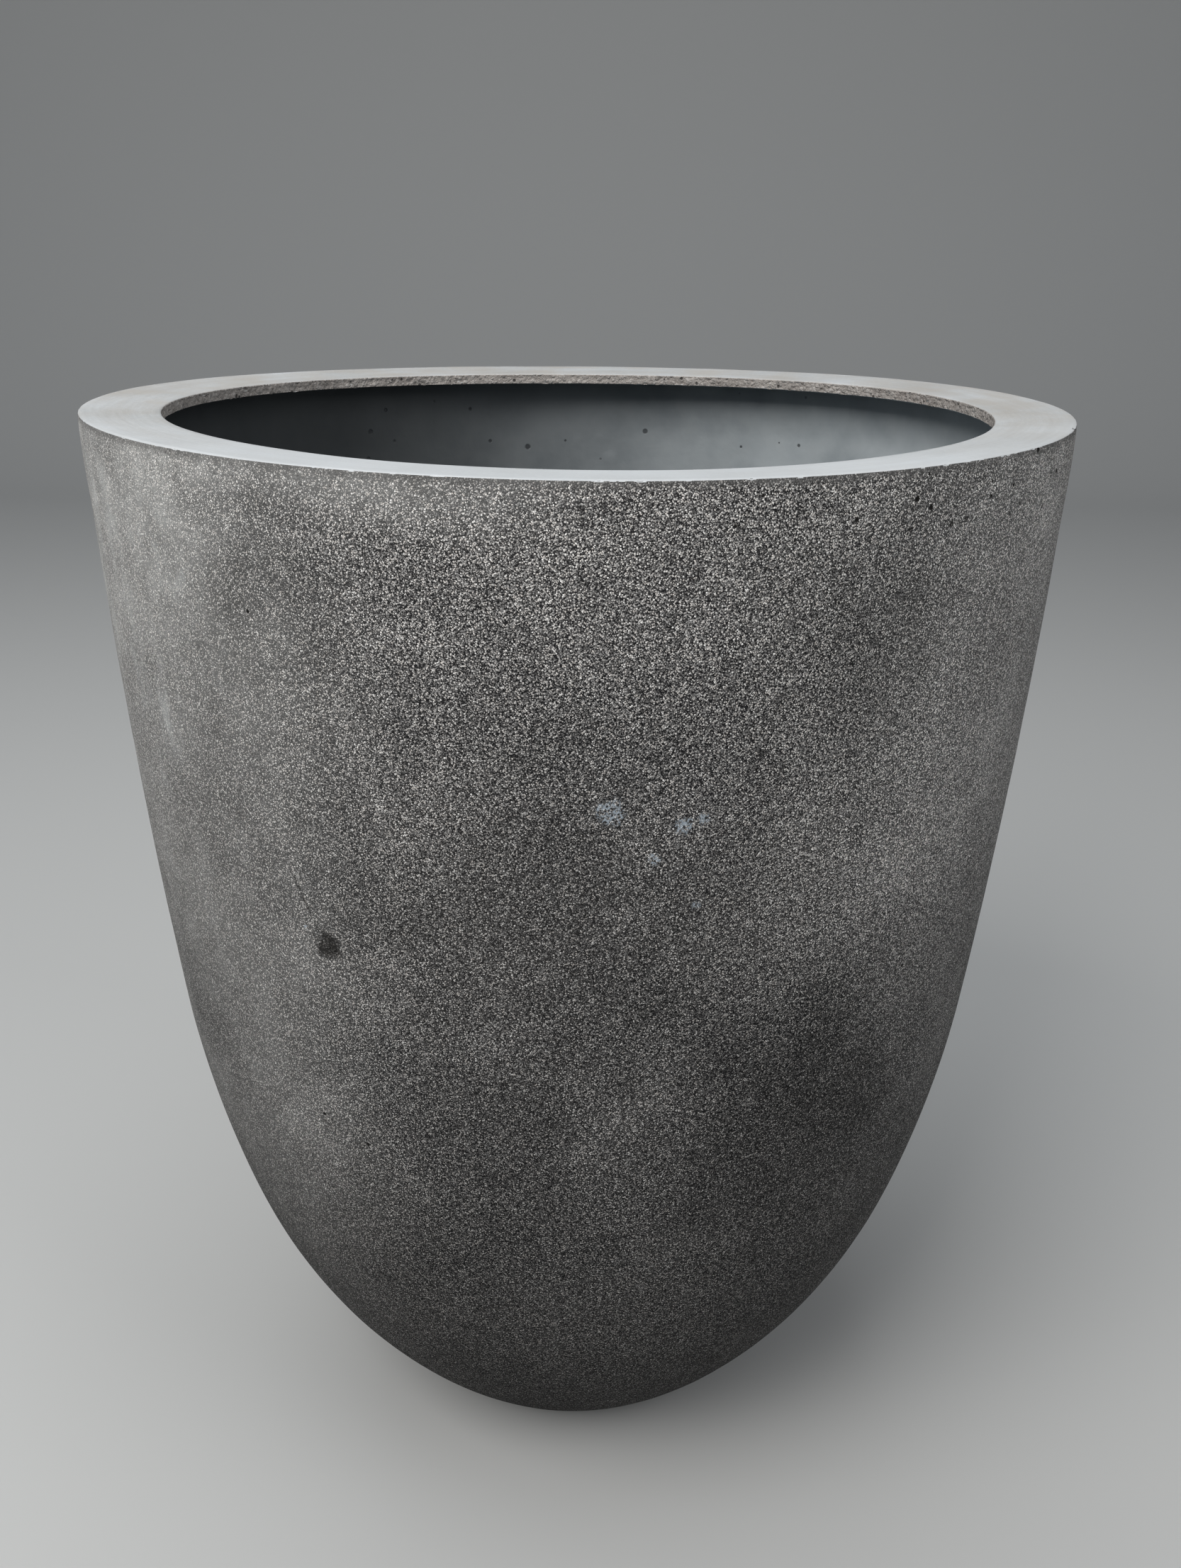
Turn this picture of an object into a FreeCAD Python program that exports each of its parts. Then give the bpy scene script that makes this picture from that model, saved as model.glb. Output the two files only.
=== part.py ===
import FreeCAD, Part
import math
import os

# Round stone-faced planter: a deep bowl that tapers slowly from an in-turned rim,
# rounds in over its lower third and stands on a small cast foot.
# Millimetres, +Z up, origin at the centre of the foot's underside.

# Overall outline of the outside wall
HEIGHT = 600.0
RIM_RADIUS = 250.0
BELLY_HEIGHT = 295.0
BOWL_HEIGHT = 171.0
BASE_RADIUS = 83.0
RIM_LEAN = 1.9
BELLY_LEAN = 6.3
BOWL_LEAN = 17.6

# Layers of the wall
FACE_THICKNESS = 3.0
BACKING_THICKNESS = 9.0

# Rim ring that closes the top, falls slightly inwards and leaves the round mouth
RIM_WIDTH = 39.0
RIM_FALL = 2.0
RIM_THICKNESS = 8.5
RIM_ARRIS = 1.0
MOUTH_ARRIS = 1.5

# Cast floor, whose lower end is the foot
FOOT_SETBACK = 4.0
FOOT_REVEAL = 3.0
FLOOR_TOP = 22.0
FOOT_ARRIS = 1.5

# Drain through the floor
DRAIN_RADIUS = 15.0
SLEEVE_WALL = 3.0
SLEEVE_FLANGE_WIDTH = 9.0
SLEEVE_FLANGE_THICKNESS = 3.0
SLEEVE_RECESS = 2.0

# Rubber bung in the drain
BUNG_CLEARANCE = 0.05
BUNG_SEAT_GAP = 0.05
BUNG_RECESS = 4.0
BUNG_LEAD_IN = 2.0
BUNG_HEAD_OVERLAP = 6.0
BUNG_HEAD_THICKNESS = 5.0
BUNG_NECK_RADIUS = 7.0
BUNG_NECK_HEIGHT = 8.0
BUNG_KNOB_RADIUS = 11.0
BUNG_KNOB_HEIGHT = 9.0
BUNG_ROUNDING = 2.0

# Sizes that follow from the ones above
FOOT_RADIUS = BASE_RADIUS - FOOT_SETBACK
WALL_THICKNESS = FACE_THICKNESS + BACKING_THICKNESS
RIM_UNDERSIDE = HEIGHT - RIM_THICKNESS
MOUTH_TOP = HEIGHT - RIM_FALL
MOUTH_RADIUS = RIM_RADIUS - RIM_WIDTH
SLEEVE_RADIUS = DRAIN_RADIUS + SLEEVE_WALL
SLEEVE_FLANGE_RADIUS = SLEEVE_RADIUS + SLEEVE_FLANGE_WIDTH
SLEEVE_SHOULDER = FLOOR_TOP - SLEEVE_FLANGE_THICKNESS


def wall_arcs():
    """The outside wall's three tangent arcs, from the rim down, each with its centre,
    radius and the leans from the vertical between which it runs."""
    heights = [HEIGHT, BELLY_HEIGHT, BOWL_HEIGHT, 0.0]
    leans = [math.radians(RIM_LEAN), math.radians(BELLY_LEAN), math.radians(BOWL_LEAN)]
    radii = [RIM_RADIUS]
    for index in range(2):
        drop = heights[index] - heights[index + 1]
        radii.append(radii[index] - drop * math.tan((leans[index] + leans[index + 1]) / 2))
    leans.append(2 * math.atan((radii[2] - BASE_RADIUS) / BOWL_HEIGHT) - leans[2])
    arcs = []
    for index in range(3):
        drop = heights[index] - heights[index + 1]
        radius = drop / (math.sin(leans[index + 1]) - math.sin(leans[index]))
        centre_r = radii[index] - radius * math.cos(leans[index])
        centre_z = heights[index] + radius * math.sin(leans[index])
        arcs.append((centre_r, centre_z, radius, leans[index], leans[index + 1]))
    return arcs


ARCS = wall_arcs()


def arc_point(arc, depth, lean):
    """A point on an arc moved into the wall by depth, where the wall leans by lean."""
    centre_r, centre_z, radius = arc[:3]
    reach = radius - depth
    return FreeCAD.Vector(centre_r + reach * math.cos(lean), 0, centre_z - reach * math.sin(lean))


def wall_edges(depth, high, low):
    """The wall's line at a depth below its outside face, from a high to a low level."""
    edges = []
    for arc in ARCS:
        centre_z, radius, top_lean, low_lean = arc[1:]
        reach = radius - depth
        start_level = min(high, centre_z - reach * math.sin(top_lean))
        end_level = max(low, centre_z - reach * math.sin(low_lean))
        if arc is ARCS[0]:
            start_level = high
        if arc is ARCS[-1]:
            end_level = low
        if start_level > end_level:
            start = math.asin((centre_z - start_level) / reach)
            end = math.asin((centre_z - end_level) / reach)
            points = [arc_point(arc, depth, lean) for lean in (start, (start + end) / 2, end)]
            edges.append(Part.Arc(*points).toShape())
    return edges


def first_point(edges):
    return edges[0].valueAt(edges[0].FirstParameter)


def last_point(edges):
    return edges[-1].valueAt(edges[-1].LastParameter)


def turned(edges):
    """The solid that a closed outline in the XZ plane sweeps about the Z axis."""
    outline = Part.Wire(Part.__sortEdges__(edges))
    return Part.Face(outline).revolve(FreeCAD.Vector(), FreeCAD.Vector(0, 0, 1), 360)


def line(start, end):
    return Part.LineSegment(start, end).toShape()


def wall_layer(outer_depth, inner_depth, high, low):
    """One layer of the wall, between two depths below its outside face."""
    outer = wall_edges(outer_depth, high, low)
    inner = wall_edges(inner_depth, high, low)
    top = line(first_point(outer), first_point(inner))
    bottom = line(last_point(outer), last_point(inner))
    return turned(outer + inner + [top, bottom])


def wall_core(depth, high, low):
    """Everything inside the wall's line at a depth, between two levels."""
    side = wall_edges(depth, high, low)
    top_centre = FreeCAD.Vector(0, 0, high)
    low_centre = FreeCAD.Vector(0, 0, low)
    top = line(top_centre, first_point(side))
    bottom = line(last_point(side), low_centre)
    return turned(side + [top, bottom, line(low_centre, top_centre)])


def disc(radius, low, high):
    return Part.makeCylinder(radius, high - low, FreeCAD.Vector(0, 0, low))


def rounded(solid, radius, level, size):
    """The solid with its round edge of this radius, at this level, filleted."""
    for edge in solid.Edges:
        if not isinstance(edge.Curve, Part.Circle):
            continue
        off_radius = abs(edge.Curve.Radius - radius)
        off_level = abs(edge.Curve.Center.z - level)
        if off_radius < 0.01 and off_level < 0.01:
            return solid.makeFillet(size, [edge])
    raise ValueError("no round edge of radius %.2f at level %.2f" % (radius, level))


def face_shell():
    """Outside layer of fine crushed stone in dark mortar, from the foot to the rim."""
    layer = wall_layer(0, FACE_THICKNESS, HEIGHT, FOOT_REVEAL)
    return rounded(layer, RIM_RADIUS, HEIGHT, RIM_ARRIS)


def backing_shell():
    """Fibre-reinforced layer behind the stone face, from the foot to under the rim."""
    layer = wall_layer(FACE_THICKNESS, WALL_THICKNESS, RIM_UNDERSIDE, FOOT_REVEAL)
    return layer.cut(disc(FOOT_RADIUS, 0, HEIGHT))


def rim_ring():
    """Ring let into the face shell's top edge, turned in over the planting space."""
    outside = wall_edges(FACE_THICKNESS, HEIGHT, RIM_UNDERSIDE)
    mouth_top = FreeCAD.Vector(MOUTH_RADIUS, 0, MOUTH_TOP)
    mouth_low = FreeCAD.Vector(MOUTH_RADIUS, 0, RIM_UNDERSIDE)
    top = line(first_point(outside), mouth_top)
    bottom = line(last_point(outside), mouth_low)
    ring = turned(outside + [top, line(mouth_top, mouth_low), bottom])
    return rounded(ring, MOUTH_RADIUS, MOUTH_TOP, MOUTH_ARRIS)


def floor_slab():
    """Floor cast in the bottom of the shell, whose lower end is the foot."""
    floor = wall_core(WALL_THICKNESS, FLOOR_TOP, FOOT_REVEAL)
    foot = disc(FOOT_RADIUS, 0, FLOOR_TOP)
    slab = floor.fuse(foot).removeSplitter()
    slab = slab.cut(disc(SLEEVE_RADIUS, 0, FLOOR_TOP))
    slab = slab.cut(disc(SLEEVE_FLANGE_RADIUS, SLEEVE_SHOULDER, FLOOR_TOP))
    return rounded(slab, FOOT_RADIUS, 0, FOOT_ARRIS)


def drain_sleeve():
    """Plastic sleeve cast into the floor, with its flange flush with the floor's top."""
    tube = disc(SLEEVE_RADIUS, SLEEVE_RECESS, FLOOR_TOP)
    flange = disc(SLEEVE_FLANGE_RADIUS, SLEEVE_SHOULDER, FLOOR_TOP)
    body = tube.fuse(flange).removeSplitter()
    return body.cut(disc(DRAIN_RADIUS, SLEEVE_RECESS, FLOOR_TOP))


def drain_bung():
    """Rubber bung that drops into the sleeve and lifts out by its knob."""
    stem_radius = DRAIN_RADIUS - BUNG_CLEARANCE
    head_radius = DRAIN_RADIUS + BUNG_HEAD_OVERLAP
    seat = FLOOR_TOP + BUNG_SEAT_GAP
    head_top = seat + BUNG_HEAD_THICKNESS
    neck_top = head_top + BUNG_NECK_HEIGHT
    knob_top = neck_top + BUNG_KNOB_HEIGHT
    stem = disc(stem_radius, BUNG_RECESS, seat)
    for edge in stem.Edges:
        if isinstance(edge.Curve, Part.Circle) and edge.Curve.Center.z < seat - 1:
            stem = stem.makeChamfer(BUNG_LEAD_IN, [edge])
    head = rounded(disc(head_radius, seat, head_top), head_radius, head_top, BUNG_ROUNDING)
    neck = disc(BUNG_NECK_RADIUS, head_top, neck_top)
    knob = disc(BUNG_KNOB_RADIUS, neck_top, knob_top)
    for level in (neck_top, knob_top):
        knob = rounded(knob, BUNG_KNOB_RADIUS, level, BUNG_ROUNDING)
    return stem.fuse([head, neck, knob]).removeSplitter()


PARTS = {
    "face_shell": face_shell,
    "backing_shell": backing_shell,
    "rim_ring": rim_ring,
    "floor_slab": floor_slab,
    "drain_sleeve": drain_sleeve,
    "drain_bung": drain_bung,
}

os.makedirs("parts", exist_ok=True)
for node, make in PARTS.items():
    shape = make()
    shape.exportStep("parts/" + node + ".step")
    box = shape.BoundBox
    print("%-14s solids %d  valid %s  %.0f cm3  z %.1f to %.1f" % (
        node, len(shape.Solids), shape.isValid(), shape.Volume / 1000, box.ZMin, box.ZMax))
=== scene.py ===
import math

import bpy
import numpy as np
from mathutils import Matrix, Vector, noise


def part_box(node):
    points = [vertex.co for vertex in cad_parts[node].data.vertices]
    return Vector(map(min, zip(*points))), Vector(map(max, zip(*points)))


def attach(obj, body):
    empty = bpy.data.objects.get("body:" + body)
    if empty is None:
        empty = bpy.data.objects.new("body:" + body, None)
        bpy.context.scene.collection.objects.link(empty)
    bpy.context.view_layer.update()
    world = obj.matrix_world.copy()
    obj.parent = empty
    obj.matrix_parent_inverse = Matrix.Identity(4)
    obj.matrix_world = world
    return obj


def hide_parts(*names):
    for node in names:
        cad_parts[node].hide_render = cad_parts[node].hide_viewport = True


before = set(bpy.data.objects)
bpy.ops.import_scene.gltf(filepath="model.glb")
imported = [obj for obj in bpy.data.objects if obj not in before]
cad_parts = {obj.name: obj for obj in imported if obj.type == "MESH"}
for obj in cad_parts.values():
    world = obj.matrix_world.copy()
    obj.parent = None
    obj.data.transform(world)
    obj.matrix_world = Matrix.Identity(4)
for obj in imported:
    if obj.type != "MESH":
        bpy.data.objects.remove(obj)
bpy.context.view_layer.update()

# A round planter of dark mortar with a fine exposed-stone face. Metres throughout, in the
# frame of the CAD model: +Z up, origin under the middle of the foot, front towards -Y.

RIM_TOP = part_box("face_shell")[1].z
RIM_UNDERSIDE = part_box("rim_ring")[0].z
WALL_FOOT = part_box("face_shell")[0].z
RIM_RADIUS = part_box("face_shell")[1].x

# How far the stone face's own edge piece reaches down from the rim's top
EDGE_DEPTH = 0.012

# Rounding of the rim's outer corner and of the mouth's, and the rim's fall to the mouth
ARRIS = 0.001
MOUTH_ARRIS = 0.0015
RIM_FALL = 0.002

# The hand-made rim's wave: how far it dips, and the turn from the front where it is low
RIM_WAVE = 0.0030
RIM_LOW_TURN = 9.1

# Marks on the stone face: turn from the front in degrees (right is positive), height
GOUGE = (-27.3, 0.3860)
GOUGE_SIZE = (0.0058, 0.0098)
GOUGE_TILT = 34.0
GOUGE_DEPTH = 0.0022
CRACK = ((-30.8, 0.4186), (-28.3, 0.3910))
LIME_RUNS = (-55.0, 0.525)
LIME_RUNS_REACH = 0.085

# Pale scuffs: turn, height and size
SCUFFS = (
    (3.3, 0.4639, 0.0068),
    (10.4, 0.4568, 0.0046),
    (12.3, 0.4592, 0.0032),
    (7.6, 0.4422, 0.0034),
    (12.1, 0.4195, 0.0024),
    (-30.0, 0.3935, 0.0016),
)

# Broad stains: turn, height, reach, and the share of the light that they leave
STAINS = (
    (-2.0, 0.420, 0.120, 0.60),
    (27.0, 0.300, 0.100, 0.48),
    (-32.0, 0.535, 0.070, 0.74),
    (42.0, 0.430, 0.110, 1.30),
    (-28.0, 0.320, 0.100, 1.22),
    (-42.0, 0.250, 0.100, 1.26),
    (58.0, 0.560, 0.060, 1.20),
    (45.0, 0.225, 0.090, 0.78),
    (30.0, 0.530, 0.060, 0.72),
    (-62.0, 0.450, 0.110, 1.26),
    (44.0, 0.410, 0.060, 1.15),
    (-10.0, 0.310, 0.070, 0.72),
)

# Chips in the rim's outer corner, with one larger one, and pits in the mouth's cut edge
CHIP_COUNT = 60
LARGE_CHIP_TURN = 67.5
LARGE_CHIP_SIZE = 0.0036
PIT_COUNT = 240

# Hollows that the hand-laid backing shows inside
HOLLOW_COUNT = 70

# Columns of each turned piece, the angle from which its corners stay sharp, and the seed
WALL_COLUMNS = 440
EDGE_COLUMNS = 1400
RIM_COLUMNS = 1150
INSIDE_COLUMNS = 500
SHARP_ANGLE = 38
SEED = 7

# Camera: behind and above the rim, its tilts in degrees and its lens in millimetres
CAMERA_BACK = 0.7683
CAMERA_ABOVE_RIM = 0.0775
CAMERA_PITCH, CAMERA_YAW, CAMERA_ROLL = 20.94, 0.61, 0.67
FOCAL_LENGTH = 32.55
SENSOR_WIDTH = 36

# Softboxes: name, place, side, power and colour
SOFTBOXES = (
    ("key_softbox", (-1.35, -1.8, 2.5), 1.8, 70, (1.0, 0.99, 0.97)),
    ("top_softbox", (-0.4, 0.0, 2.6), 2.0, 27, (0.95, 0.98, 1.0)),
    ("fill_softbox", (2.0, -1.4, 1.9), 1.5, 16, (1.0, 1.0, 1.0)),
)
STUDIO_AIR = (0.86, 0.92, 1.0, 1)
STUDIO_AIR_STRENGTH = 0.22
PAPER_COLOUR = (0.52, 0.52, 0.51, 1)


# ---------------------------------------------------------------- turned shapes

def rings(node, side):
    """Levels and radii of a turned node's wall, outside (side 1) or inside (side -1)."""
    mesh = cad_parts[node].data
    radius_at = {}
    for face in mesh.polygons:
        facing = face.normal.xy.dot(face.center.xy.normalized()) * side
        if facing > 0.3:
            for index in face.vertices:
                point = mesh.vertices[index].co
                radius_at[round(point.z, 4)] = point.xy.length
    levels = np.array(sorted(radius_at))
    return levels, np.array([radius_at[level] for level in levels])


def wall_line(node, side, low, high):
    """A smooth curve through a wall's rings: gives the radius at any level."""
    levels, radii = rings(node, side)
    kept = (levels >= low - 1e-4) & (levels <= high + 1e-4)
    levels, radii = levels[kept], radii[kept]
    slopes = np.gradient(radii, levels)

    def radius(level):
        index = np.clip(np.searchsorted(levels, level) - 1, 0, len(levels) - 2)
        span = levels[index + 1] - levels[index]
        part = (level - levels[index]) / span
        rest = 1 - part
        start = (1 + 2 * part) * rest**2 * radii[index] + part * rest**2 * span * slopes[index]
        end = part**2 * (3 - 2 * part) * radii[index + 1] - part**2 * rest * span * slopes[index + 1]
        return start + end

    return radius


def around(point_turn, count):
    """Turns from the front, in radians, evenly spaced, with extra ones near one turn."""
    even = np.linspace(-math.pi, math.pi, count, endpoint=False)
    if point_turn is None:
        return even
    near = math.radians(point_turn)
    extra = near + np.linspace(-0.055, 0.055, 26)
    kept = even[np.abs(even - near) > 0.06]
    return np.sort(np.concatenate([kept, extra]))


def arc_rows(centre, radius, start, end, count):
    """Outline points along an arc in the radius and height plane, degrees from outward."""
    turns = np.radians(np.linspace(start, end, count))
    return [(centre[0] + radius * math.cos(t), centre[1] + radius * math.sin(t)) for t in turns]


def settled(turns, height):
    """Heights as the planter was made: its rim waves a little, low in front and behind."""
    dip = RIM_WAVE * (1 + np.cos(2 * (turns - math.radians(RIM_LOW_TURN)))) / 2
    part = np.clip((height - 0.40) / 0.18, 0, 1)
    return height - dip * part**2 * (3 - 2 * part)


def turned(name, shown, hidden, turns, dents):
    """A closed turned mesh. Its outline runs once round with the solid on the left, the
    shown part first, and dents says how far each shown point goes into the solid."""
    outline = np.array(shown + hidden)
    along = np.gradient(outline[:len(shown)], axis=0)
    along /= np.linalg.norm(along, axis=1)[:, None]
    radius = np.tile(outline[:, 0], (len(turns), 1))
    height = np.tile(outline[:, 1], (len(turns), 1))
    sin, cos = np.sin(turns)[:, None], np.cos(turns)[:, None]
    points = np.stack([radius * sin, -radius * cos, height], axis=-1)
    depth = dents(points[:, :len(shown)])
    radius[:, :len(shown)] -= depth * along[:, 1]
    height[:, :len(shown)] += depth * along[:, 0]
    height = settled(turns[:, None], height)
    points = np.stack([radius * sin, -radius * cos, height], axis=-1)
    columns, rows = points.shape[:2]
    index = np.arange(columns * rows).reshape(columns, rows)
    right = np.roll(index, -1, axis=0)
    faces = np.stack([index, right, np.roll(right, -1, axis=1), np.roll(index, -1, axis=1)], axis=-1)
    mesh = bpy.data.meshes.new(name)
    mesh.from_pydata(points.reshape(-1, 3).tolist(), [], faces.reshape(-1, 4).tolist())
    mesh.polygons.foreach_set("use_smooth", [True] * len(mesh.polygons))
    mesh.set_sharp_from_angle(angle=math.radians(SHARP_ANGLE))
    mesh.update()
    made = bpy.data.objects.new(name, mesh)
    bpy.context.scene.collection.objects.link(made)
    return made


def fractal(points, size, octaves=3):
    """Soft noise between about -1 and 1 for every point, with features of one size."""
    flat = points.reshape(-1, 3) / size
    values = [noise.fractal(Vector(p), 1.0, 2.0, octaves) for p in flat.tolist()]
    return np.array(values).reshape(points.shape[:-1])


def on_wall(turn, height, radius):
    """The point of a wall at a turn from the front in degrees and a height."""
    angle = math.radians(turn)
    return Vector((radius * math.sin(angle), -radius * math.cos(angle), height))


def bites(points, centres, sizes, depths):
    """Small rounded bites out of a surface, each around its own centre."""
    depth = np.zeros(points.shape[:-1])
    for centre, size, deep in zip(centres, sizes, depths):
        gap = np.linalg.norm(points - np.array(centre), axis=-1) / size
        depth = np.maximum(depth, deep * np.clip(1 - gap**2, 0, 1))
    return depth


# ---------------------------------------------------------------- pieces

face_radius = wall_line("face_shell", 1, WALL_FOOT, RIM_TOP - ARRIS)
face_back = wall_line("face_shell", -1, WALL_FOOT, RIM_TOP)
backing_inside = wall_line("backing_shell", -1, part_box("backing_shell")[0].z + 0.012, RIM_UNDERSIDE)
backing_outside = wall_line("backing_shell", 1, WALL_FOOT, RIM_UNDERSIDE)


def on_face(turn, height):
    """The point of the stone face at a turn from the front in degrees and a height."""
    return on_wall(turn, height, float(face_radius(height)))


def wall_rows():
    """Levels of the stone wall's rows, closer together round the gouge."""
    even = np.arange(WALL_FOOT, RIM_TOP - EDGE_DEPTH, 0.0046)
    near = GOUGE[1] + np.linspace(-0.014, 0.014, 30)
    kept = even[np.abs(even - GOUGE[1]) > 0.016]
    return np.sort(np.concatenate([kept, near, [RIM_TOP - EDGE_DEPTH]]))


def hand_finish(points):
    """How far a hand-rubbed face lies under its true line."""
    broad = 0.5 + 0.5 * fractal(points, 0.11, 2)
    narrow = 0.5 + 0.5 * fractal(points, 0.028, 2)
    return 0.0001 + 0.0004 * np.clip(broad, 0, 1) + 0.00016 * np.clip(narrow, 0, 1)


def stone_wall():
    """The stone face from the foot to just under the rim, with its gouge."""
    levels = wall_rows()
    outer = [(float(face_radius(z)), z) for z in levels]
    inner = [(float(face_back(z)), z) for z in np.linspace(levels[-1], levels[0], 14)]
    middle = on_face(*GOUGE)
    tilt = math.radians(GOUGE_TILT)
    across = Vector((math.cos(math.radians(GOUGE[0])), math.sin(math.radians(GOUGE[0])), 0))

    def dents(points):
        offset = points - np.array(middle)
        side = offset @ np.array(across)
        rise = offset[..., 2]
        long_way = rise * math.cos(tilt) - side * math.sin(tilt)
        short_way = side * math.cos(tilt) + rise * math.sin(tilt)
        ragged = 0.35 * fractal(points, 0.004, 3)
        gap = np.hypot(short_way / GOUGE_SIZE[0], long_way / GOUGE_SIZE[1]) + ragged
        pocket = np.clip((1 - gap) * 2.2, 0, 1) * (np.linalg.norm(offset, axis=-1) < 0.02)
        return hand_finish(points) + GOUGE_DEPTH * pocket * (0.8 + 0.4 * fractal(points, 0.002, 2))

    return turned("stone_wall", outer, inner, around(GOUGE[0], WALL_COLUMNS), dents)


def stone_edge():
    """The stone face's top edge, a strip with its own worn and chipped arris."""
    low = RIM_TOP - EDGE_DEPTH
    corner = (float(face_radius(RIM_TOP - ARRIS)) - ARRIS, RIM_TOP - ARRIS)
    back = float(face_back(RIM_TOP - ARRIS))
    side = [(float(face_radius(z)), z) for z in np.linspace(low, RIM_TOP - ARRIS, 9)[:-1]]
    arris = arc_rows(corner, ARRIS, 0, 90, 6)
    top = [(r, RIM_TOP) for r in np.linspace(corner[0], back, 4)[1:]]
    behind = [(back, RIM_TOP - 0.004), (back, RIM_TOP - 0.008), (float(face_back(low)), low)]
    rng = np.random.default_rng(SEED)
    spots = rng.uniform(-180, 180, CHIP_COUNT)
    sizes = rng.uniform(0.0006, 0.0012, CHIP_COUNT) * (1 + 0.8 * (rng.random(CHIP_COUNT) > 0.93))
    centres = [on_wall(t, RIM_TOP, RIM_RADIUS) for t in spots]
    centres.append(on_wall(LARGE_CHIP_TURN, RIM_TOP, RIM_RADIUS))
    sizes = np.append(sizes, LARGE_CHIP_SIZE)
    flat = len(side) + len(arris)

    def dents(points):
        wear = np.clip(fractal(points, 0.006, 3), 0, 1)
        near_corner = np.clip(1 - np.abs(RIM_TOP - points[..., 2]) / 0.003, 0, 1)
        near_corner[:, flat:] = 0
        depth = hand_finish(points) + 0.00012 * wear * near_corner
        depth += bites(points, centres, sizes, sizes * 0.42)
        depth[:, flat:] = rubbed(points[:, flat:])
        return depth

    return turned("stone_edge", side + arris + top, behind, around(None, EDGE_COLUMNS), dents)


def rubbed(points):
    """How far the rim's rubbed top lies under its true level."""
    return 0.00012 + 0.00022 * np.clip(fractal(points, 0.09, 2) + 0.5, 0, 1)


def rim_plate():
    """The rim ring, rubbed smooth on top, with its rough cut lip round the mouth."""
    back = float(face_back(RIM_TOP - ARRIS))
    mouth = min(v.co.xy.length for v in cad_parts["rim_ring"].data.vertices)
    mouth_top = RIM_TOP - RIM_FALL
    slope = math.degrees(math.atan2(RIM_FALL, back - mouth))
    top = [(r, RIM_TOP - RIM_FALL * (back - r) / (back - mouth))
           for r in np.linspace(back, mouth + MOUTH_ARRIS, 13)]
    arris = arc_rows((mouth + MOUTH_ARRIS, mouth_top - MOUTH_ARRIS), MOUTH_ARRIS, 90 + slope, 180, 6)[1:]
    lip = [(mouth, z) for z in np.linspace(arris[-1][1], RIM_UNDERSIDE + 0.0004, 9)[1:]]
    under = [(r, RIM_UNDERSIDE) for r in np.linspace(mouth + 0.0012, back, 8)]
    edge = [(back, RIM_UNDERSIDE + 0.004)]
    rng = np.random.default_rng(SEED + 1)
    spots = rng.uniform(-180, 180, PIT_COUNT)
    heights = rng.uniform(RIM_UNDERSIDE, mouth_top - 0.001, PIT_COUNT)
    sizes = rng.uniform(0.0006, 0.0014, PIT_COUNT)
    pits = [on_wall(t, z, mouth) for t, z in zip(spots, heights)]
    flat = len(top)

    def dents(points):
        depth = np.zeros(points.shape[:-1])
        depth[:, :flat] = rubbed(points[:, :flat])
        cut = points[:, flat:]
        coarse = np.clip(0.5 + 0.6 * fractal(cut, 0.012, 2), 0, 1)
        fine = np.clip(0.5 + 0.7 * fractal(cut, 0.0028, 3), 0, 1)
        rough = 0.0005 * coarse + 0.0005 * fine + bites(cut, pits, sizes, sizes * 0.7)
        start = np.clip((mouth_top - cut[..., 2]) / 0.0015, 0.2, 1)
        depth[:, flat:] = 0.0002 + rough * start
        return depth

    return turned("rim_plate", top + arris + lip, under + edge, around(None, RIM_COLUMNS), dents)


def inner_wall():
    """The sealed backing that shows inside, laid by hand and brushed over."""
    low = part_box("backing_shell")[0].z + 0.013
    inside = [(float(backing_inside(z)), z) for z in np.linspace(RIM_UNDERSIDE, low, 130)]
    outside = [(float(backing_outside(z)), z) for z in np.linspace(WALL_FOOT + 0.002, RIM_UNDERSIDE, 14)]
    rng = np.random.default_rng(SEED + 2)
    spots = rng.uniform(-180, 180, HOLLOW_COUNT)
    heights = rng.uniform(0.3, RIM_UNDERSIDE, HOLLOW_COUNT)
    sizes = rng.uniform(0.003, 0.0055, HOLLOW_COUNT)
    hollows = [on_wall(t, z, float(backing_inside(z))) for t, z in zip(spots, heights)]

    def dents(points):
        laid = np.clip(0.5 + 0.6 * fractal(points, 0.09, 3), 0, 1)
        dabs = np.clip(0.5 + 0.6 * fractal(points, 0.02, 2), 0, 1)
        return 0.0011 * laid + 0.0003 * dabs + bites(points, hollows, sizes, sizes * 0.25)

    return turned("inner_wall", inside, outside, around(None, INSIDE_COLUMNS), dents)


# ---------------------------------------------------------------- shading tools

def add(tree, kind, inputs=None, **settings):
    """A shader node with its settings, and its inputs given as values or sockets."""
    made = tree.nodes.new("ShaderNode" + kind)
    for key, value in settings.items():
        setattr(made, key, value)
    for key, value in (inputs or {}).items():
        if isinstance(value, bpy.types.NodeSocket):
            tree.links.new(value, made.inputs[key])
        else:
            made.inputs[key].default_value = value
    return made


def calc(tree, operation, first, second, clamp=False):
    return add(tree, "Math", {0: first, 1: second}, operation=operation, use_clamp=clamp).outputs[0]


def plus(tree, first, second):
    return calc(tree, "ADD", first, second)


def minus(tree, first, second):
    return calc(tree, "SUBTRACT", first, second)


def times(tree, first, second, clamp=False):
    return calc(tree, "MULTIPLY", first, second, clamp)


def over(tree, first, second, clamp=False):
    return calc(tree, "DIVIDE", first, second, clamp)


def larger(tree, first, second):
    return calc(tree, "MAXIMUM", first, second)


def vector_calc(tree, operation, first, second=(0, 0, 0)):
    return add(tree, "VectorMath", {0: first, 1: second}, operation=operation).outputs[0]


def measured(tree, operation, first, second=(0, 0, 0)):
    """One number from two vectors, such as their distance or dot product."""
    return add(tree, "VectorMath", {0: first, 1: second}, operation=operation).outputs["Value"]


def level_with(tree, value):
    """A vector with the same value along each axis."""
    return add(tree, "CombineXYZ", {0: value, 1: value, 2: value}).outputs[0]


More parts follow.
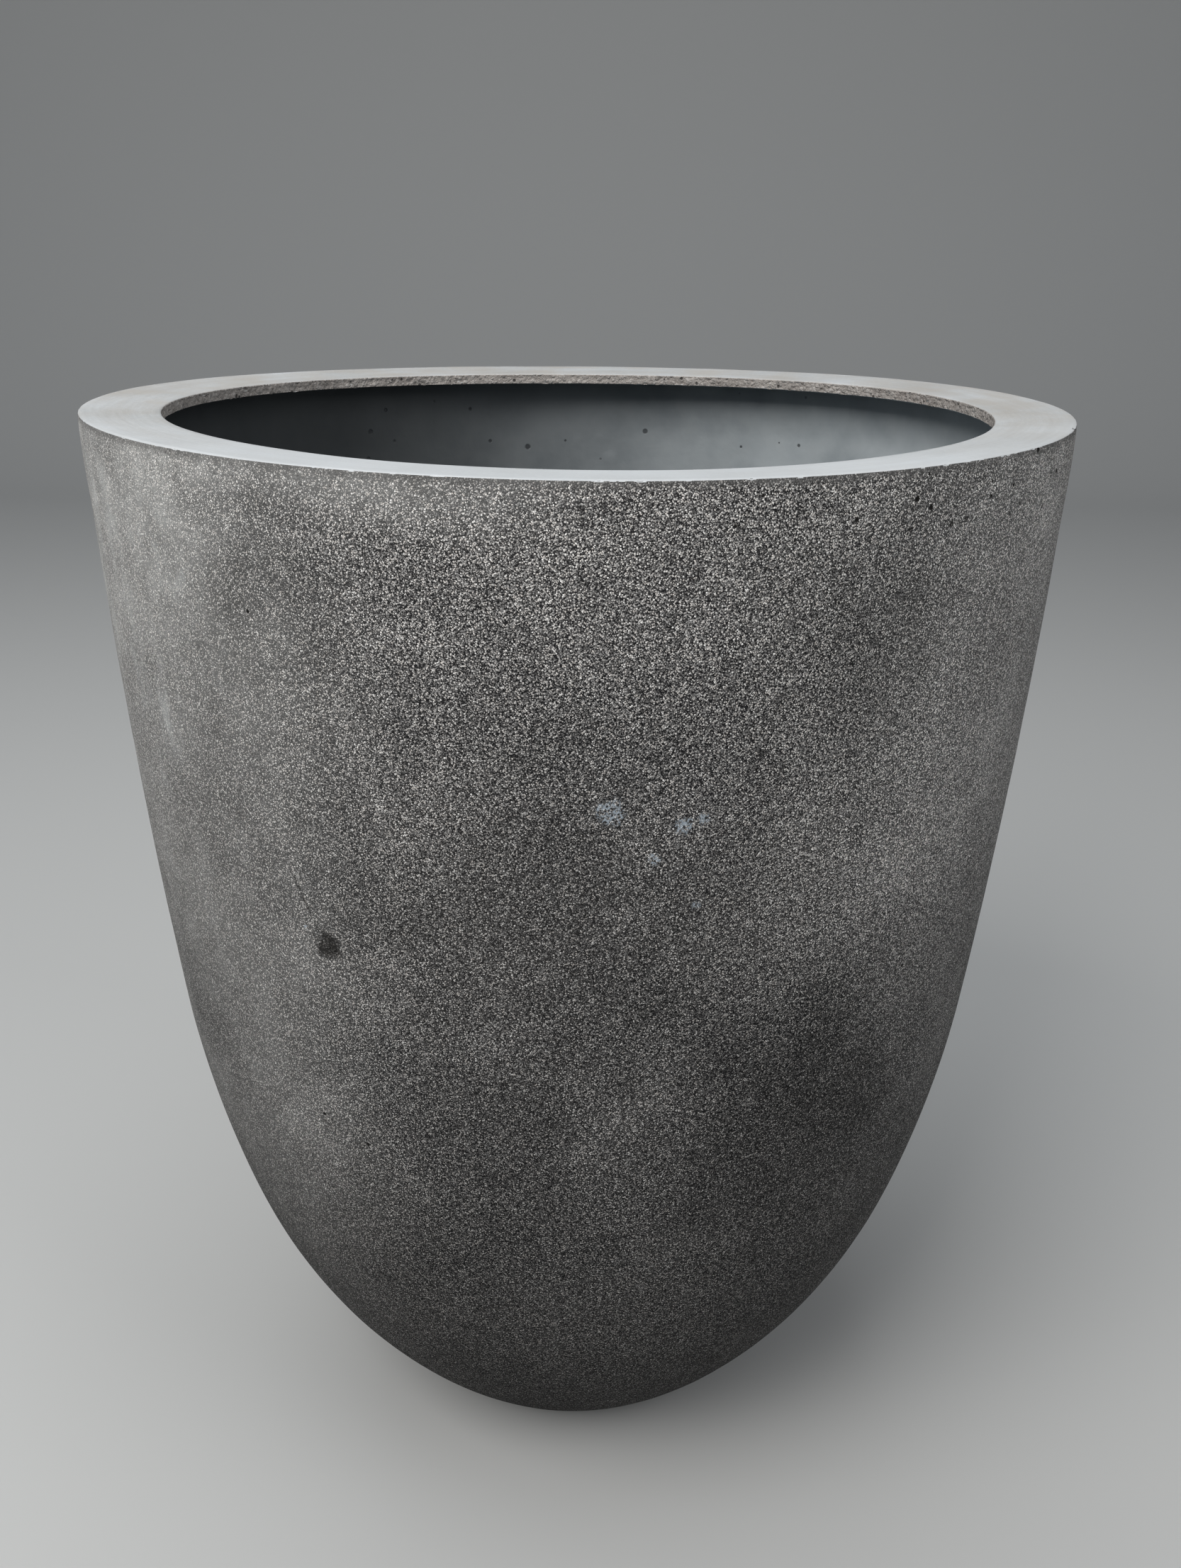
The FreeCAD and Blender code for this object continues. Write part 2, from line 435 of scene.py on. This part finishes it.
def axis_of(tree, vector, axis):
    """One axis of a vector: 0 is to the right, 1 to the back and 2 up."""
    return add(tree, "SeparateXYZ", {0: vector}).outputs[axis]


def blend(tree, factor, first, second):
    """Two colours mixed by a factor."""
    made = add(tree, "Mix", {0: factor, 6: first, 7: second}, data_type="RGBA")
    return made.outputs[2]


def tint(tree, colour, factor):
    """A colour made lighter or darker by a factor that changes over the surface."""
    return vector_calc(tree, "MULTIPLY", colour, level_with(tree, factor))


def ease(tree, value, low, high, start=0.0, end=1.0):
    """A soft step from start to end as the value goes from low to high."""
    made = add(
        tree, "MapRange",
        {"Value": value, "From Min": low, "From Max": high, "To Min": start, "To Max": end},
        interpolation_type="SMOOTHSTEP",
    )
    return made.outputs["Result"]


def ease_line(tree, value, low, high):
    """A straight climb from 0 to 1 as the value goes from low to high."""
    return add(tree, "MapRange", {"Value": value, "From Min": low, "From Max": high}).outputs["Result"]


def soft_noise(tree, vector, scale, detail=3.0, roughness=0.5):
    inputs = {"Vector": vector, "Scale": scale, "Detail": detail, "Roughness": roughness}
    return add(tree, "TexNoise", inputs).outputs["Fac"]


def group(name, inputs, outputs, build):
    """A shader group. build takes its tree and input sockets and returns its outputs."""
    tree = bpy.data.node_groups.new(name, "ShaderNodeTree")
    for label, value in inputs:
        kind = "NodeSocketVector" if isinstance(value, tuple) else "NodeSocketFloat"
        socket = tree.interface.new_socket(label, in_out="INPUT", socket_type=kind)
        socket.default_value = value
    for label in outputs:
        tree.interface.new_socket(label, in_out="OUTPUT", socket_type="NodeSocketFloat")
    entry = tree.nodes.new("NodeGroupInput")
    leave = tree.nodes.new("NodeGroupOutput")
    for label, socket in zip(outputs, build(tree, entry.outputs)):
        tree.links.new(socket, leave.inputs[label])
    return tree


def use(tree, made_group, **inputs):
    """A group placed in a material, with its own values. Spaces in labels are underscores."""
    named = {key.replace("_", " "): value for key, value in inputs.items()}
    placed = tree.nodes.new("ShaderNodeGroup")
    placed.node_tree = made_group
    for key, value in named.items():
        if isinstance(value, bpy.types.NodeSocket):
            tree.links.new(value, placed.inputs[key])
        else:
            placed.inputs[key].default_value = value
    return placed.outputs


def build_grain(tree, given):
    """Rounded stone grains in mortar: where they are, each one's tone, and their relief."""
    scale = over(tree, 1.0, given["Size"])
    # turned on its corner, so that the net of stones never lines up with the wall
    askew = add(tree, "VectorRotate", {"Vector": given["Vector"], "Rotation": (0.785, 0.615, 0.4)},
                rotation_type="EULER_XYZ").outputs[0]
    wobble = add(tree, "TexNoise", {"Vector": askew, "Scale": scale, "Detail": 1.0})
    shifted = vector_calc(tree, "SUBTRACT", wobble.outputs["Color"], (0.5, 0.5, 0.5))
    reach = times(tree, given["Size"], 0.7)
    moved = vector_calc(tree, "MULTIPLY", shifted, level_with(tree, reach))
    place = vector_calc(tree, "ADD", askew, moved)
    cells = add(tree, "TexVoronoi", {"Vector": place, "Scale": scale, "Randomness": 1.0})
    lots = add(tree, "SeparateXYZ", {0: cells.outputs["Color"]}).outputs
    limit = times(tree, given["Cover"], plus(tree, 0.72, times(tree, lots[1], 0.5)))
    inside = minus(tree, limit, cells.outputs["Distance"])
    mask = ease(tree, inside, -0.03, 0.05)
    relief = ease(tree, inside, -0.10, 0.34)
    return mask, lots[0], relief


def build_clouds(tree, given):
    """Broad uneven patches, from 0 to 1."""
    scale = over(tree, 1.0, given["Size"])
    fac = soft_noise(tree, given["Vector"], scale, 4.0, 0.55)
    half = over(tree, 0.5, given["Contrast"])
    return (ease(tree, fac, minus(tree, 0.5, half), plus(tree, 0.5, half)),)


def build_pinholes(tree, given):
    """Small round air holes, only in some of the cells of a loose net."""
    scale = over(tree, 1.0, given["Spacing"])
    cells = add(tree, "TexVoronoi", {"Vector": given["Vector"], "Scale": scale, "Randomness": 1.0})
    lots = add(tree, "SeparateXYZ", {0: cells.outputs["Color"]}).outputs
    radius = times(tree, over(tree, given["Radius"], given["Spacing"]),
                  plus(tree, 0.45, lots[1]))
    rim = times(tree, radius, 0.55)
    hole = ease(tree, cells.outputs["Distance"], rim, radius, 1.0, 0.0)
    chosen = calc(tree, "LESS_THAN", lots[0], given["Share"])
    return (times(tree, hole, chosen),)


def build_streaks(tree, given):
    """Runs of weather down a wall, long in height and narrow round it."""
    wide = over(tree, 1.0, given["Width"])
    tall = over(tree, 1.0, given["Length"])
    scales = add(tree, "CombineXYZ", {0: wide, 1: wide, 2: tall}).outputs[0]
    fac = soft_noise(tree, vector_calc(tree, "MULTIPLY", given["Vector"], scales), 1.0, 3.0, 0.6)
    return (ease(tree, fac, 0.42, 0.66),)


def build_rubbing(tree, given):
    """Fine marks that a rubbing block leaves round a flat ring."""
    parts = add(tree, "SeparateXYZ", {0: given["Vector"]}).outputs
    flat = add(tree, "CombineXYZ", {0: parts[0], 1: parts[1]}).outputs[0]
    radius = measured(tree, "LENGTH", flat)
    heading = vector_calc(tree, "NORMALIZE", flat)
    turn = vector_calc(tree, "MULTIPLY", heading, (1, 1, 0))
    stretch = add(tree, "CombineXYZ", {2: over(tree, radius, given["Width"])}).outputs[0]
    long_way = over(tree, 0.25, given["Length"])
    lengths = add(tree, "CombineXYZ", {0: long_way, 1: long_way}).outputs[0]
    spread = vector_calc(tree, "MULTIPLY", turn, lengths)
    fac = soft_noise(tree, vector_calc(tree, "ADD", spread, stretch), 1.0, 3.0, 0.6)
    return (ease(tree, fac, 0.3, 0.7),)


def build_patch(tree, given):
    """One ragged patch round a centre."""
    gap = measured(tree, "DISTANCE", given["Vector"], given["Centre"])
    share = over(tree, gap, given["Radius"])
    ragged = soft_noise(tree, given["Vector"], over(tree, 2.2, given["Radius"]), 4.0, 0.7)
    shifted = plus(tree, share, times(tree, minus(tree, ragged, 0.5), 1.8))
    return (ease(tree, shifted, 0.55, 1.0, 1.0, 0.0),)


def build_stain(tree, given):
    """A broad soft-edged stain round a centre, with an uneven outline."""
    gap = measured(tree, "DISTANCE", given["Vector"], given["Centre"])
    uneven = soft_noise(tree, given["Vector"], over(tree, 2.5, given["Reach"]), 3.0, 0.6)
    share = plus(tree, over(tree, gap, given["Reach"]), minus(tree, uneven, 0.5))
    return (ease(tree, share, 0.1, 1.0, 1.0, 0.0),)


def build_crack(tree, given):
    """A hairline from one point to another, wandering a little."""
    wander = add(tree, "TexNoise", {"Vector": given["Vector"], "Scale": 260.0, "Detail": 3.0})
    shifted = vector_calc(tree, "SUBTRACT", wander.outputs["Color"], (0.5, 0.5, 0.5))
    moved = vector_calc(tree, "MULTIPLY", shifted, (0.004, 0.004, 0.004))
    place = vector_calc(tree, "ADD", given["Vector"], moved)
    reach = vector_calc(tree, "SUBTRACT", given["End"], given["Start"])
    offset = vector_calc(tree, "SUBTRACT", place, given["Start"])
    dot = measured(tree, "DOT_PRODUCT", offset, reach)
    whole = measured(tree, "DOT_PRODUCT", reach, reach)
    part = over(tree, dot, whole, clamp=True)
    scaled = add(tree, "VectorMath", {0: reach, "Scale": part}, operation="SCALE").outputs[0]
    gap = measured(tree, "DISTANCE", offset, scaled)
    return (ease(tree, gap, times(tree, given["Width"], 0.4), given["Width"], 1.0, 0.0),)


GRAIN = group("stone_grain", [("Vector", (0, 0, 0)), ("Size", 0.002), ("Cover", 0.5)],
              ["Grain", "Tone", "Relief"], build_grain)
CLOUDS = group("clouding", [("Vector", (0, 0, 0)), ("Size", 0.1), ("Contrast", 2.0)],
               ["Cloud"], build_clouds)
PINHOLES = group("pinholes", [("Vector", (0, 0, 0)), ("Spacing", 0.02), ("Radius", 0.001), ("Share", 0.3)],
                 ["Hole"], build_pinholes)
STREAKS = group("weather_streaks", [("Vector", (0, 0, 0)), ("Width", 0.006), ("Length", 0.09)],
                ["Streak"], build_streaks)
RUBBING = group("rubbing_marks", [("Vector", (0, 0, 0)), ("Width", 0.002), ("Length", 0.04)],
                ["Mark"], build_rubbing)
PATCH = group("ragged_patch", [("Vector", (0, 0, 0)), ("Centre", (0, 0, 0)), ("Radius", 0.01)],
              ["Patch"], build_patch)
STAIN = group("broad_stain", [("Vector", (0, 0, 0)), ("Centre", (0, 0, 0)), ("Reach", 0.1)],
              ["Stain"], build_stain)
CRACK_LINE = group("hairline_crack", [("Vector", (0, 0, 0)), ("Start", (0, 0, 0)), ("End", (0, 0, 1)),
                                      ("Width", 0.0008)], ["Crack"], build_crack)


def finish_of(name, build):
    """A material whose build step gives the Principled shader's inputs."""
    material = bpy.data.materials.new(name)
    material.use_nodes = True
    tree = material.node_tree
    shader = tree.nodes["Principled BSDF"]
    place = add(tree, "TexCoord").outputs["Object"]
    for label, value in build(tree, place).items():
        if isinstance(value, bpy.types.NodeSocket):
            tree.links.new(value, shader.inputs[label])
        else:
            shader.inputs[label].default_value = value
    return material


def bump(tree, height, distance, strength):
    """A normal that follows a relief, which stands out by the distance where it is 1."""
    inputs = {"Height": height, "Distance": distance, "Strength": strength}
    return add(tree, "Bump", inputs).outputs["Normal"]


# ---------------------------------------------------------------- finishes

def grain_colour(tree, tone):
    """Crushed stone from grey through pale grey to tan and cream."""
    ramp = add(tree, "ValToRGB", {0: tone})
    stops = [(0.0, (0.10, 0.096, 0.094)), (0.3, (0.26, 0.253, 0.248)), (0.55, (0.47, 0.458, 0.445)),
             (0.75, (0.58, 0.54, 0.505)), (1.0, (0.88, 0.865, 0.84))]
    band = ramp.color_ramp
    band.elements[0].position, band.elements[1].position = stops[0][0], stops[-1][0]
    for position, _ in stops[1:-1]:
        band.elements.new(position)
    for element, (_, colour) in zip(band.elements, stops):
        element.color = (*colour, 1)
    return ramp.outputs["Color"]


def stone_face(tree, place):
    """Dark mortar full of fine stones, with painted shade darkening it towards the foot, a paste film and
    painted sheen over the left, stains and scuffs, a gouge, a hairline crack, and air holes under the rim."""
    def share_towards(turn):
        return measured(tree, "DOT_PRODUCT", place, on_wall(turn, 0, 1 / RIM_RADIUS))

    def towards(turn, start, full):
        return ease(tree, share_towards(turn), start, full)

    level = axis_of(tree, place, 2)
    main = use(tree, GRAIN, Vector=place, Size=0.00070, Cover=0.50)
    small = use(tree, GRAIN, Vector=place, Size=0.0005, Cover=0.40)
    clouds = use(tree, CLOUDS, Vector=place, Size=0.10, Contrast=2.4)["Cloud"]
    blotches = use(tree, CLOUDS, Vector=place, Size=0.022, Contrast=2.0)["Cloud"]
    streaks = use(tree, STREAKS, Vector=place, Width=0.018, Length=0.055)["Streak"]

    # a film of mortar paste, left where the face was washed less, together with painted sheen: most on the
    # left, some at the right edge and under the rim
    left = towards(-80, 0.40, 1.0)
    right = times(tree, towards(80, 0.5, 1.0), 0.3)
    under_rim = ease(tree, level, RIM_TOP - 0.034, RIM_TOP - 0.004)
    under_rim = times(tree, under_rim, towards(-66, 0.3, 0.9))
    film_and_sheen = larger(tree, left, right)
    film_and_sheen = larger(tree, film_and_sheen, times(tree, under_rim, 0.9))
    film_and_sheen = times(tree, film_and_sheen, plus(tree, 0.7, times(tree, clouds, 0.4)), clamp=True)

    # painted shade, darker towards the foot, with broad stains
    rise = calc(tree, "POWER", ease_line(tree, level, 0.04, 0.57), 1.4)
    painted_shade_and_stains = plus(tree, 0.19, times(tree, rise, 1.15))
    mottle = plus(tree, 0.80, times(tree, blotches, 0.17))
    mottle = plus(tree, mottle, times(tree, clouds, 0.22))
    painted_shade_and_stains = times(tree, painted_shade_and_stains, mottle)
    for turn, height, reach, strength in STAINS:
        stain = use(tree, STAIN, Vector=place, Centre=on_face(turn, height), Reach=reach)["Stain"]
        painted_shade_and_stains = times(tree, painted_shade_and_stains, plus(tree, 1.0, times(tree, stain, strength - 1)))

    # the darker the painted shade and stains, the fewer of its stones are pale
    fewer = times(tree, 1.3, calc(tree, "POWER", painted_shade_and_stains, -0.6))
    large_tone = calc(tree, "POWER", main["Tone"], fewer)
    small_tone = calc(tree, "POWER", small["Tone"], fewer)
    mortar = blend(tree, clouds, (0.012, 0.012, 0.013, 1), (0.024, 0.023, 0.023, 1))
    colour = blend(tree, times(tree, small["Grain"], 0.45), mortar, grain_colour(tree, small_tone))
    colour = blend(tree, main["Grain"], colour, grain_colour(tree, large_tone))
    colour = tint(tree, colour, times(tree, 1.02, calc(tree, "POWER", painted_shade_and_stains, 0.63)))
    # colour of the paste film and of the painted sheen
    film_and_sheen_colour = blend(tree, blotches, (0.215, 0.214, 0.206, 1), (0.32, 0.32, 0.312, 1))
    covered = minus(tree, 1.0, times(tree, main["Grain"], 0.82))
    film_and_sheen = times(tree, times(tree, film_and_sheen, 0.84), covered)
    colour = blend(tree, film_and_sheen, colour, tint(tree, film_and_sheen_colour, painted_shade_and_stains))
    runs = use(tree, PATCH, Vector=place, Centre=on_face(*LIME_RUNS), Radius=LIME_RUNS_REACH)["Patch"]
    broken = plus(tree, 0.25, times(tree, blotches, 0.75))
    bloom = times(tree, times(tree, streaks, runs), times(tree, broken, 0.5))
    colour = blend(tree, bloom, colour, (0.52, 0.53, 0.525, 1))

    # the cast edge just under the rim shows hardly any stones
    share = share_towards(RIM_LOW_TURN)
    dip = times(tree, times(tree, share, share), RIM_WAVE)
    uneven = times(tree, soft_noise(tree, place, 160.0), 0.005)
    gap = minus(tree, RIM_TOP, plus(tree, level, dip))
    bare = ease(tree, plus(tree, gap, uneven), 0.0035, 0.0075, 0.62, 0.0)
    edge_paste = blend(tree, blotches, (0.085, 0.083, 0.081, 1), (0.150, 0.147, 0.143, 1))
    colour = blend(tree, bare, colour, edge_paste)

    holes = use(tree, PINHOLES, Vector=place, Spacing=0.017, Radius=0.0011, Share=0.3)["Hole"]
    near_top = ease(tree, level, RIM_TOP - 0.045, RIM_TOP - 0.018)
    more = use(tree, PINHOLES, Vector=place, Spacing=0.0062, Radius=0.0013, Share=0.6)["Hole"]
    more = times(tree, more, times(tree, near_top, towards(55, 0.3, 0.85)))
    pocket = use(tree, PATCH, Vector=place, Centre=on_face(*GOUGE), Radius=0.0085)["Patch"]
    start, end = (on_face(*point) for point in CRACK)
    crack = use(tree, CRACK_LINE, Vector=place, Start=start, End=end, Width=0.0011)["Crack"]
    dark = larger(tree, larger(tree, holes, more), times(tree, pocket, 0.8))
    dark = larger(tree, dark, times(tree, crack, 0.55))
    colour = blend(tree, dark, colour, (0.012, 0.011, 0.010, 1))

    speckle = soft_noise(tree, place, 900.0, 2.0)
    for turn, height, size in SCUFFS:
        mark = use(tree, PATCH, Vector=place, Centre=on_face(turn, height), Radius=size)["Patch"]
        mark = times(tree, mark, ease(tree, speckle, 0.42, 0.62))
        colour = blend(tree, times(tree, mark, 0.75), colour, (0.42, 0.48, 0.54, 1))

    relief = larger(tree, main["Relief"], times(tree, small["Relief"], 0.6))
    relief = times(tree, relief, minus(tree, 1.0, times(tree, film_and_sheen, 0.6)))
    height = minus(tree, relief, times(tree, dark, 1.6))
    normal = bump(tree, height, 0.00032, 0.7)
    rough = minus(tree, 0.88, times(tree, main["Grain"], 0.22))
    return {"Base Color": colour, "Roughness": rough, "Normal": normal, "Specular IOR Level": 0.06}


def rim_top(tree, place):
    """Rubbed pale bluish mortar, with a painted highlight in front and warm smudges behind."""
    clouds = use(tree, CLOUDS, Vector=place, Size=0.06, Contrast=2.0)["Cloud"]
    rubbed = use(tree, RUBBING, Vector=place, Width=0.0022, Length=0.05)["Mark"]
    broad = use(tree, RUBBING, Vector=place, Width=0.012, Length=0.12)["Mark"]
    stones = use(tree, GRAIN, Vector=place, Size=0.0022, Cover=0.5)
    colour = blend(tree, clouds, (0.395, 0.405, 0.405, 1), (0.475, 0.487, 0.495, 1))
    colour = blend(tree, times(tree, broad, 0.35), colour, (0.355, 0.352, 0.342, 1))
    colour = blend(tree, times(tree, rubbed, 0.3), colour, (0.56, 0.575, 0.585, 1))
    flush = times(tree, stones["Grain"], times(tree, stones["Tone"], 0.24))
    colour = blend(tree, flush, colour, (0.60, 0.60, 0.585, 1))
    front = times(tree, axis_of(tree, place, 1), -1 / RIM_RADIUS)
    # painted highlight: lighter and bluer towards the front of the rim
    colour = blend(tree, ease(tree, front, 0.1, 0.95, 0.0, 0.5), colour, (0.58, 0.605, 0.625, 1))
    smudge = use(tree, CLOUDS, Vector=place, Size=0.035, Contrast=3.0)["Cloud"]
    uneven = plus(tree, times(tree, smudge, 0.7), times(tree, broad, 0.4))
    warm = times(tree, uneven, ease(tree, front, -0.1, 0.85, 0.72, 0.10), clamp=True)
    colour = blend(tree, warm, colour, (0.400, 0.372, 0.335, 1))
    holes = use(tree, PINHOLES, Vector=place, Spacing=0.014, Radius=0.0007, Share=0.18)["Hole"]
    colour = blend(tree, times(tree, holes, 0.6), colour, (0.16, 0.16, 0.16, 1))
    height = plus(tree, times(tree, rubbed, 0.3), times(tree, stones["Relief"], 0.3))
    height = minus(tree, height, holes)
    rough = plus(tree, 0.5, times(tree, clouds, 0.14))
    return {"Base Color": colour, "Roughness": rough, "Normal": bump(tree, height, 0.00022, 0.6),
            "Specular IOR Level": 0.4}


def cut_lip(tree, place):
    """The rim's raw cut edge: warm brownish mortar with stones and open pits."""
    stones = use(tree, GRAIN, Vector=place, Size=0.0026, Cover=0.52)
    fine = use(tree, GRAIN, Vector=place, Size=0.0012, Cover=0.5)
    clouds = use(tree, CLOUDS, Vector=place, Size=0.03, Contrast=2.0)["Cloud"]
    colour = blend(tree, clouds, (0.25, 0.222, 0.204, 1), (0.40, 0.368, 0.340, 1))
    colour = blend(tree, times(tree, fine["Grain"], 0.4), colour, (0.50, 0.46, 0.425, 1))
    colour = blend(tree, times(tree, stones["Grain"], 0.22), colour, grain_colour(tree, stones["Tone"]))
    holes = use(tree, PINHOLES, Vector=place, Spacing=0.0055, Radius=0.0012, Share=0.30)["Hole"]
    colour = blend(tree, times(tree, holes, 0.85), colour, (0.02, 0.018, 0.017, 1))
    height = minus(tree, plus(tree, stones["Relief"], times(tree, fine["Relief"], 0.5)), holes)
    return {"Base Color": colour, "Roughness": 0.86, "Normal": bump(tree, height, 0.0006, 0.8),
            "Specular IOR Level": 0.3}


def sealed_inside(tree, place):
    """Dark blue-grey sealer, brushed on in dabs, with painted shade on the left and painted light towards
    the right.
    """
    clouds = use(tree, CLOUDS, Vector=place, Size=0.07, Contrast=2.2)["Cloud"]
    dabs = use(tree, CLOUDS, Vector=place, Size=0.016, Contrast=1.6)["Cloud"]
    colour = blend(tree, clouds, (0.17, 0.19, 0.203, 1), (0.28, 0.305, 0.318, 1))
    colour = blend(tree, times(tree, dabs, 0.35), colour, (0.33, 0.35, 0.355, 1))
    side = times(tree, axis_of(tree, place, 0), 1 / RIM_RADIUS)
    # painted shade on the left of the inside, painted light towards the right
    colour = tint(tree, colour, ease(tree, side, -0.7, 1.15, 0.2, 1.85))
    holes = use(tree, PINHOLES, Vector=place, Spacing=0.013, Radius=0.0017, Share=0.5)["Hole"]
    holes = times(tree, holes, ease(tree, clouds, 0.1, 0.5))
    specks = use(tree, PINHOLES, Vector=place, Spacing=0.031, Radius=0.0010, Share=0.16)["Hole"]
    colour = blend(tree, times(tree, holes, 0.8), colour, (0.022, 0.024, 0.027, 1))
    colour = blend(tree, times(tree, specks, 0.8), colour, (0.42, 0.43, 0.42, 1))
    height = minus(tree, times(tree, dabs, 0.5), holes)
    rough = plus(tree, 0.46, times(tree, dabs, 0.16))
    return {"Base Color": colour, "Roughness": rough, "Normal": bump(tree, height, 0.0006, 0.7),
            "Specular IOR Level": 0.4}


def cast_floor(tree, place):
    """Plain trowelled mortar with sand and air holes."""
    clouds = use(tree, CLOUDS, Vector=place, Size=0.04, Contrast=2.0)["Cloud"]
    trowel = soft_noise(tree, vector_calc(tree, "MULTIPLY", place, (30, 160, 30)), 1.0, 3.0)
    sand = use(tree, GRAIN, Vector=place, Size=0.0015, Cover=0.45)
    colour = blend(tree, clouds, (0.12, 0.12, 0.117, 1), (0.19, 0.188, 0.182, 1))
    colour = blend(tree, times(tree, sand["Grain"], 0.25), colour, (0.27, 0.26, 0.245, 1))
    holes = use(tree, PINHOLES, Vector=place, Spacing=0.012, Radius=0.0011, Share=0.3)["Hole"]
    colour = blend(tree, times(tree, holes, 0.8), colour, (0.02, 0.02, 0.02, 1))
    height = minus(tree, plus(tree, trowel, times(tree, sand["Relief"], 0.3)), holes)
    return {"Base Color": colour, "Roughness": 0.85, "Normal": bump(tree, height, 0.0006, 0.7),
            "Specular IOR Level": 0.3}


def sleeve_plastic(tree, place):
    """Dark grey moulded plastic with a fine spark texture and dull scuffs."""
    scuffs = use(tree, CLOUDS, Vector=place, Size=0.008, Contrast=2.4)["Cloud"]
    colour = blend(tree, scuffs, (0.070, 0.071, 0.074, 1), (0.125, 0.125, 0.127, 1))
    spark = soft_noise(tree, place, 2600.0, 2.0)
    rough = plus(tree, 0.42, times(tree, scuffs, 0.22))
    return {"Base Color": colour, "Roughness": rough, "Normal": bump(tree, spark, 0.00006, 0.7)}


def bung_rubber(tree, place):
    """Black moulded rubber with dust on it."""
    dust = use(tree, CLOUDS, Vector=place, Size=0.012, Contrast=2.2)["Cloud"]
    colour = blend(tree, times(tree, dust, 0.5), (0.018, 0.018, 0.019, 1), (0.075, 0.072, 0.068, 1))
    grit = soft_noise(tree, place, 1500.0, 3.0)
    rough = plus(tree, 0.62, times(tree, dust, 0.2))
    return {"Base Color": colour, "Roughness": rough, "Normal": bump(tree, grit, 0.00008, 0.8),
            "Specular IOR Level": 0.3}


# ---------------------------------------------------------------- assembly

def split_faces(piece, choose, materials):
    """Gives each face the material that choose picks from its place and normal."""
    for material in materials:
        piece.data.materials.append(material)
    picks = [choose(face.center, face.normal) for face in piece.data.polygons]
    piece.data.polygons.foreach_set("material_index", picks)


STONE = finish_of("stone_face", stone_face)
RIM = finish_of("rim_top", rim_top)
LIP = finish_of("cut_lip", cut_lip)
INSIDE = finish_of("sealed_inside", sealed_inside)

wall = stone_wall()
split_faces(wall, lambda centre, normal: 0, [STONE])
edge = stone_edge()
split_faces(edge, lambda centre, normal: int(normal.z > 0.5), [STONE, RIM])
rim = rim_plate()
split_faces(rim, lambda centre, normal: 2 if normal.z < -0.6 else int(normal.z < 0.6), [RIM, LIP, INSIDE])
inner = inner_wall()
split_faces(inner, lambda centre, normal: 0, [INSIDE])

for piece, node, slot in ((wall, "face_shell", "stone_face"), (rim, "rim_ring", "rim_stone"),
                          (inner, "backing_shell", "fibre_backing")):
    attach(piece, "pot")
    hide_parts(node)
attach(edge, "pot")

for node, name, build in (("floor_slab", "cast_floor", cast_floor),
                          ("drain_sleeve", "sleeve_plastic", sleeve_plastic),
                          ("drain_bung", "bung_rubber", bung_rubber)):
    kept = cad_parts[node]
    kept.data.materials.clear()
    kept.data.materials.append(finish_of(name, build))


# ---------------------------------------------------------------- stage, light, camera

def sweep():
    """A plain pale floor that curves up into a backdrop."""
    half, near, run, bend, tall = 5.0, 6.0, 3.2, 1.4, 4.0
    line = [(-near, 0.0), (run, 0.0)]
    for t in np.linspace(0, math.pi / 2, 24)[1:]:
        line.append((run + bend * math.sin(t), bend - bend * math.cos(t)))
    line.append((run + bend, tall))
    verts = [(side * half, y, z) for y, z in line for side in (-1, 1)]
    faces = [(2 * i, 2 * i + 1, 2 * i + 3, 2 * i + 2) for i in range(len(line) - 1)]
    mesh = bpy.data.meshes.new("studio_sweep")
    mesh.from_pydata(verts, [], faces)
    mesh.polygons.foreach_set("use_smooth", [True] * len(faces))
    made = bpy.data.objects.new("studio_sweep", mesh)
    bpy.context.scene.collection.objects.link(made)
    paper = bpy.data.materials.new("studio_paper")
    paper.use_nodes = True
    shader = paper.node_tree.nodes["Principled BSDF"]
    shader.inputs["Base Color"].default_value = PAPER_COLOUR
    shader.inputs["Roughness"].default_value = 0.9
    mesh.materials.append(paper)


def softbox(name, place, target, size, power, colour):
    """A square area light that faces its target."""
    light = bpy.data.lights.new(name, "AREA")
    light.shape, light.size = "SQUARE", size
    light.energy, light.color = power, colour
    made = bpy.data.objects.new(name, light)
    made.location = place
    made.rotation_euler = (Vector(target) - Vector(place)).to_track_quat("-Z", "Y").to_euler()
    bpy.context.scene.collection.objects.link(made)


sweep()
middle = (0, 0, RIM_TOP * 0.6)
for name, place, size, power, colour in SOFTBOXES:
    softbox(name, place, middle, size, power, colour)
world = bpy.data.worlds.new("studio_air")
world.use_nodes = True
world.node_tree.nodes["Background"].inputs["Color"].default_value = STUDIO_AIR
world.node_tree.nodes["Background"].inputs["Strength"].default_value = STUDIO_AIR_STRENGTH
bpy.context.scene.world = world

camera_data = bpy.data.cameras.new("camera")
camera_data.lens = FOCAL_LENGTH
camera_data.sensor_width = SENSOR_WIDTH
camera = bpy.data.objects.new("camera", camera_data)
turn = Matrix.Rotation(math.radians(-CAMERA_YAW), 4, "Z")
tip = Matrix.Rotation(math.radians(90 - CAMERA_PITCH), 4, "X")
roll = Matrix.Rotation(math.radians(CAMERA_ROLL), 4, "Z")
camera.matrix_world = Matrix.Translation((0, -CAMERA_BACK, RIM_TOP + CAMERA_ABOVE_RIM)) @ turn @ tip @ roll
bpy.context.scene.collection.objects.link(camera)
bpy.context.scene.camera = camera
bpy.context.scene.view_settings.view_transform = "Standard"
